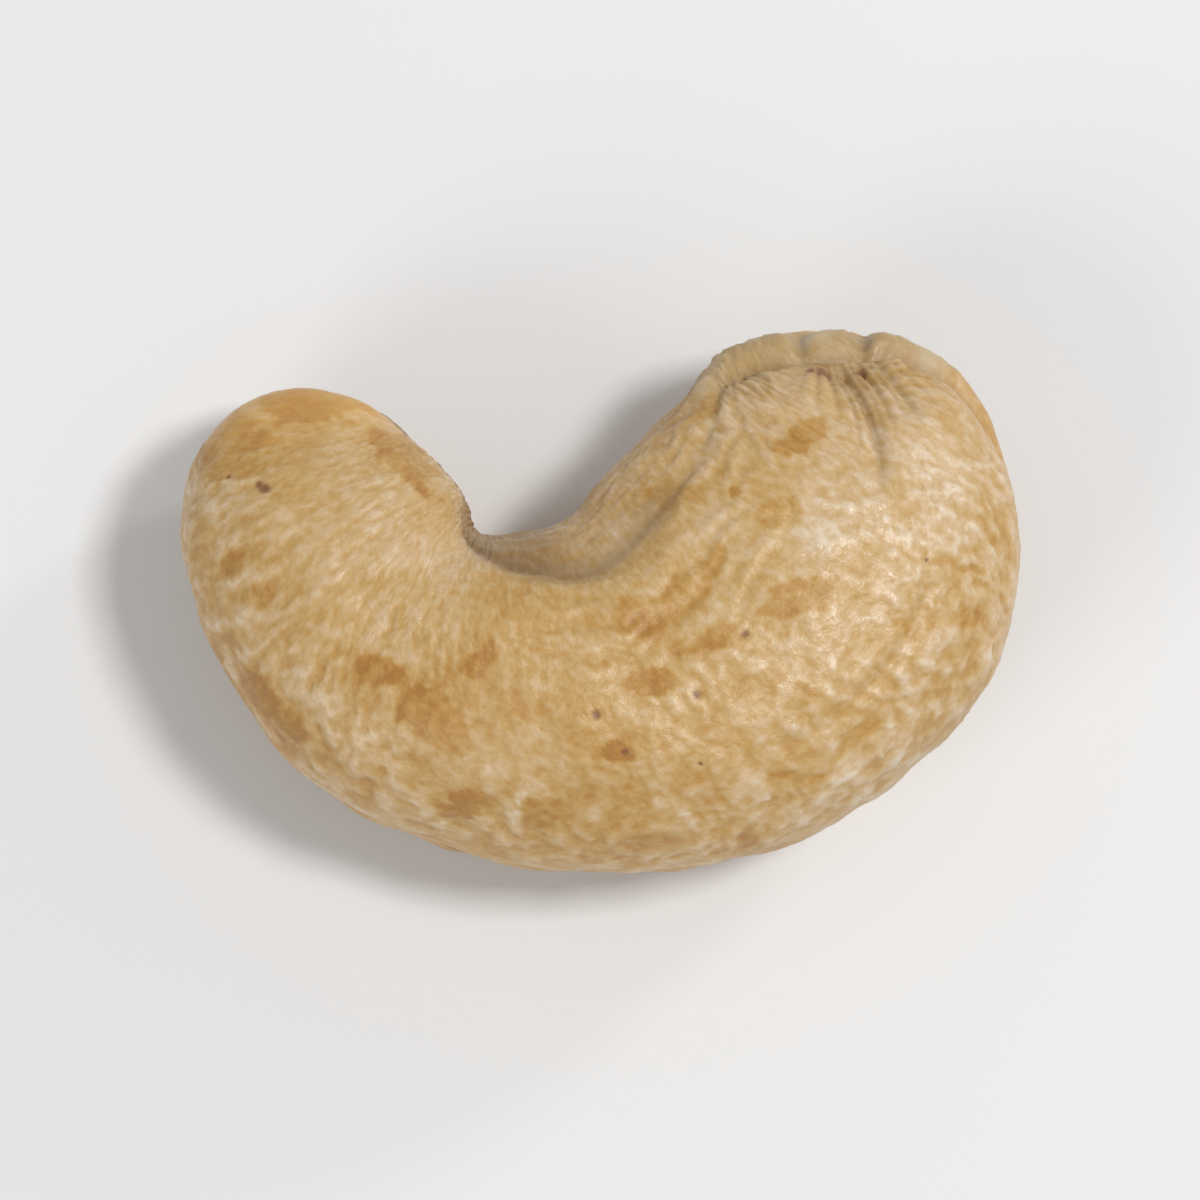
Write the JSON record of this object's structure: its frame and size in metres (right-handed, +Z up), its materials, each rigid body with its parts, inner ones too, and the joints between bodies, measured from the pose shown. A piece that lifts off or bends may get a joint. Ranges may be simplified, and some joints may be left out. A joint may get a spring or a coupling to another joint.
{
  "type": "cashew nut",
  "caption": "Whole cashew kernel: kidney-shaped nut with a hollow side, a slender tip, a blunt tip with gathered folds, and a seam round its outline. It lies on its flat side.",
  "frame": {"origin": "on the surface the nut lies on, under the middle of its bounding box", "axes": "+X from the slender tip's side to the blunt tip's side, +Y out of the hollow side, +Z up through the flat side's opposite"},
  "size_m": [0.0264, 0.0174, 0.011],
  "materials": {
    "kernel": "satin"
  },
  "bodies": {
    "root": {"cashew_nut": "kernel"}
  },
  "joints": []
}
